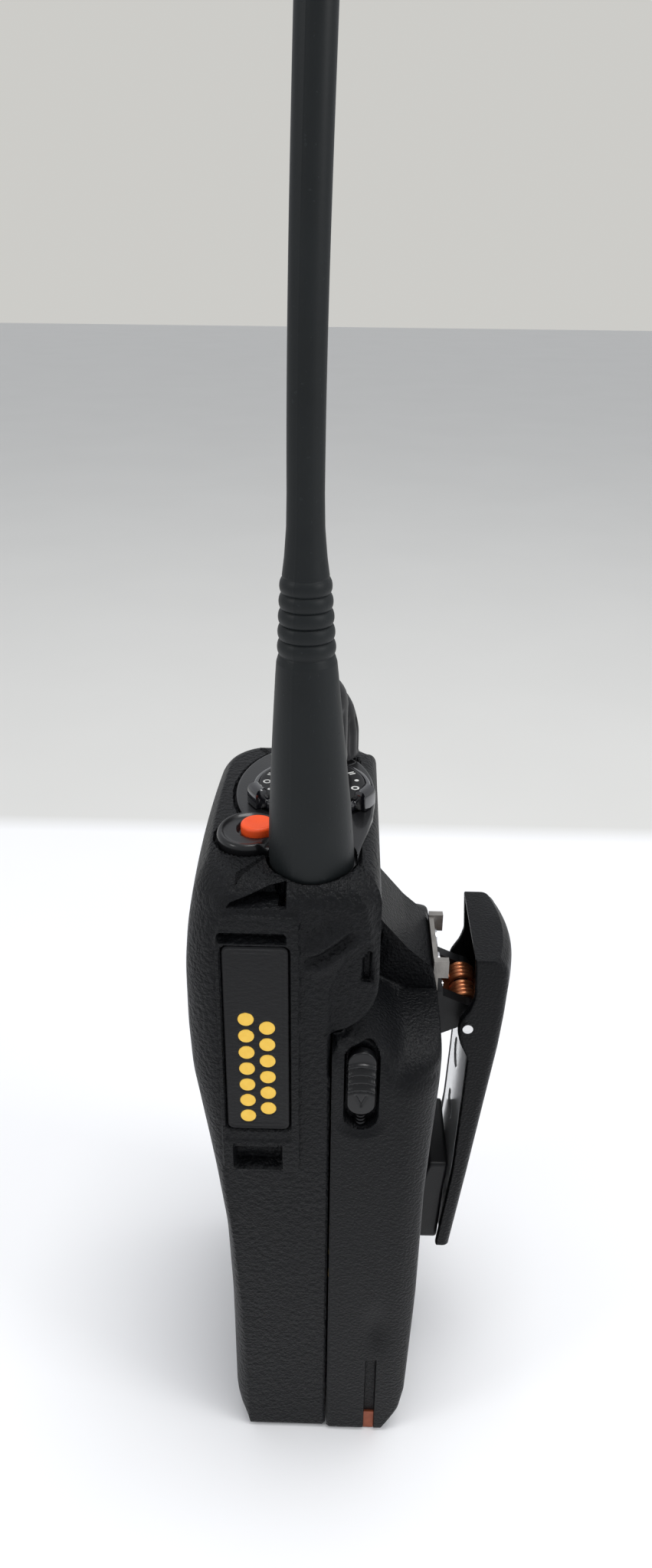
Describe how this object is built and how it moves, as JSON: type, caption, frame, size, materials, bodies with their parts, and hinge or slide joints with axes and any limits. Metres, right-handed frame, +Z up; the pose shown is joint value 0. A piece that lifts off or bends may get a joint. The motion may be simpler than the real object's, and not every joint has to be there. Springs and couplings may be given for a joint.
{
  "type": "two way radio",
  "caption": "Portable two way radio with antenna, removable battery, sprung belt clip, rotary knobs, side and front keys and an accessory connector.",
  "frame": {"origin": "centre of the base, just behind the seam between radio and battery", "axes": "+X to the accessory connector side, -Y to the speaker side, +Y to the belt clip, +Z up towards the antenna"},
  "size_m": [0.0597, 0.0603, 0.2965],
  "materials": {
    "case_plastic": "coarse moulded texture, satin",
    "panel_plastic": "glossy black",
    "dial_plastic": "satin black with pale printed marks",
    "connector_plastic": "fine moulded texture",
    "contact_gold": "gold plated, satin",
    "lens_clear": "glossy smoked lens",
    "status_clear": "clear light pipe",
    "screen_mesh": "woven dust screen",
    "speaker_steel": "pressed steel",
    "speaker_film": "pressed film",
    "mic_can": "satin",
    "cast_metal": "die cast, satin",
    "gasket_rubber": "soft rubber",
    "screw_steel": "zinc plated",
    "board_green": "solder mask",
    "shield_tin": "tin plated",
    "connector_resin": "moulded resin",
    "display_glass": "liquid crystal cell",
    "mat_rubber": "silicone",
    "switch_resin": "moulded resin",
    "bush_brass": "turned brass",
    "antenna_rubber": "satin rubber",
    "knob_rubber": "satin rubber",
    "emergency_orange": "satin orange",
    "button_rubber": "satin rubber",
    "battery_plastic": "fine moulded texture, satin",
    "cell_wrap": "shrink wrap",
    "charge_copper": "dull copper",
    "latch_plastic": "satin black",
    "spring_steel": "drawn wire",
    "bracket_steel": "pressed steel",
    "clip_plastic": "satin moulded nylon",
    "pin_steel": "turned steel",
    "spring_copper": "coppered wire",
    "plate_chrome": "polished",
    "tip_rubber": "soft rubber"
  },
  "bodies": {
    "radio": {"front_case": "case_plastic", "top_panel": "panel_plastic", "channel_dial": "dial_plastic", "status_lens": "status_clear", "connector_plate": "connector_plastic", "contact_pads": "contact_gold", "display_lens": "lens_clear", "speaker_screen": "screen_mesh", "speaker_frame": "speaker_steel", "speaker_cone": "speaker_film", "microphone": "mic_can", "rear_chassis": "cast_metal", "case_gasket": "gasket_rubber", "chassis_screws": "screw_steel", "main_board": "board_green", "control_board": "board_green", "board_screws": "screw_steel", "rf_shields": "shield_tin", "board_connector": "connector_resin", "display_module": "display_glass", "key_mat": "mat_rubber", "emergency_switch": "switch_resin", "channel_switch": "switch_resin", "volume_pot": "switch_resin", "side_switches": "switch_resin", "antenna_bush": "bush_brass", "battery_terminals": "contact_gold", "antenna_sheath": "antenna_rubber", "antenna_core": "bush_brass", "battery_case": "battery_plastic", "battery_cover": "battery_plastic", "battery_cells": "cell_wrap", "battery_board": "board_green", "battery_contacts": "contact_gold", "charging_contacts": "charge_copper", "latch_springs": "spring_steel", "clip_bracket": "bracket_steel", "bracket_screws": "screw_steel", "clip_base": "clip_plastic", "clip_hinge_pin": "pin_steel", "clip_spring": "spring_copper", "clip_rivets": "pin_steel"},
    "channel_knob": {"channel_knob": "knob_rubber"},
    "volume_knob": {"volume_knob": "knob_rubber"},
    "lever_ring": {"lever_ring": "panel_plastic"},
    "emergency_button": {"emergency_button": "emergency_orange"},
    "ptt_button": {"ptt_button": "button_rubber"},
    "upper_side_key": {"upper_side_key": "button_rubber"},
    "lower_side_key": {"lower_side_key": "button_rubber"},
    "left_front_key": {"left_front_key": "button_rubber"},
    "middle_front_key": {"middle_front_key": "button_rubber"},
    "right_front_key": {"right_front_key": "button_rubber"},
    "navigation_key": {"navigation_key": "button_rubber"},
    "latch_right": {"latch_right": "latch_plastic"},
    "latch_left": {"latch_left": "latch_plastic"},
    "belt_clip": {"clip_lever": "clip_plastic", "clip_plate": "plate_chrome", "clip_tip": "tip_rubber"}
  },
  "joints": [
    {"name": "channel_turn", "type": "hinge", "parent": "radio", "child": "channel_knob", "pos_m": [-0.0047, -0.0055, 0.15], "axis": [0, 0, -1], "range_deg": [0, 337.5]},
    {"name": "volume_turn", "type": "hinge", "parent": "radio", "child": "volume_knob", "pos_m": [-0.022, -0.0027, 0.145], "axis": [0, 0, -1], "range_deg": [0, 280]},
    {"name": "lever_turn", "type": "hinge", "parent": "radio", "child": "lever_ring", "pos_m": [-0.0047, -0.0055, 0.1405], "axis": [0, 0, -1], "range_deg": [0, 20]},
    {"name": "emergency_press", "type": "slide", "parent": "radio", "child": "emergency_button", "axis": [0, 0, -1], "range_m": [0, 0.0011], "stiffness_N_per_m": 900, "springref_m": -0.0008},
    {"name": "ptt_press", "type": "slide", "parent": "radio", "child": "ptt_button", "axis": [1, 0, 0], "range_m": [0, 0.0009], "stiffness_N_per_m": 1200, "springref_m": -0.0008},
    {"name": "upper_key_press", "type": "slide", "parent": "radio", "child": "upper_side_key", "axis": [1, 0, 0], "range_m": [0, 0.0006], "stiffness_N_per_m": 1200, "springref_m": -0.0006},
    {"name": "lower_key_press", "type": "slide", "parent": "radio", "child": "lower_side_key", "axis": [1, 0, 0], "range_m": [0, 0.0006], "stiffness_N_per_m": 1200, "springref_m": -0.0006},
    {"name": "left_key_press", "type": "slide", "parent": "radio", "child": "left_front_key", "axis": [0, 1, 0], "range_m": [0, 0.0005], "stiffness_N_per_m": 900, "springref_m": -0.0006},
    {"name": "middle_key_press", "type": "slide", "parent": "radio", "child": "middle_front_key", "axis": [0, 1, 0], "range_m": [0, 0.0005], "stiffness_N_per_m": 900, "springref_m": -0.0006},
    {"name": "right_key_press", "type": "slide", "parent": "radio", "child": "right_front_key", "axis": [0, 1, 0], "range_m": [0, 0.0005], "stiffness_N_per_m": 900, "springref_m": -0.0006},
    {"name": "navigation_press", "type": "slide", "parent": "radio", "child": "navigation_key", "axis": [0, 1, 0], "range_m": [0, 0.0005], "stiffness_N_per_m": 1200, "springref_m": -0.0006},
    {"name": "latch_right_slide", "type": "slide", "parent": "radio", "child": "latch_right", "axis": [0, 0, -1], "range_m": [0, 0.0025], "stiffness_N_per_m": 500, "springref_m": -0.001, "deforming": ["latch_springs"]},
    {"name": "latch_left_slide", "type": "slide", "parent": "radio", "child": "latch_left", "axis": [0, 0, -1], "range_m": [0, 0.0025], "stiffness_N_per_m": 500, "springref_m": -0.001},
    {"name": "clip_open", "type": "hinge", "parent": "radio", "child": "belt_clip", "pos_m": [0, 0.0252, 0.0978], "axis": [1, 0, 0], "range_deg": [0, 8], "stiffness_Nm_per_rad": 0.6, "springref_deg": -20.05, "deforming": ["clip_spring"]}
  ]
}
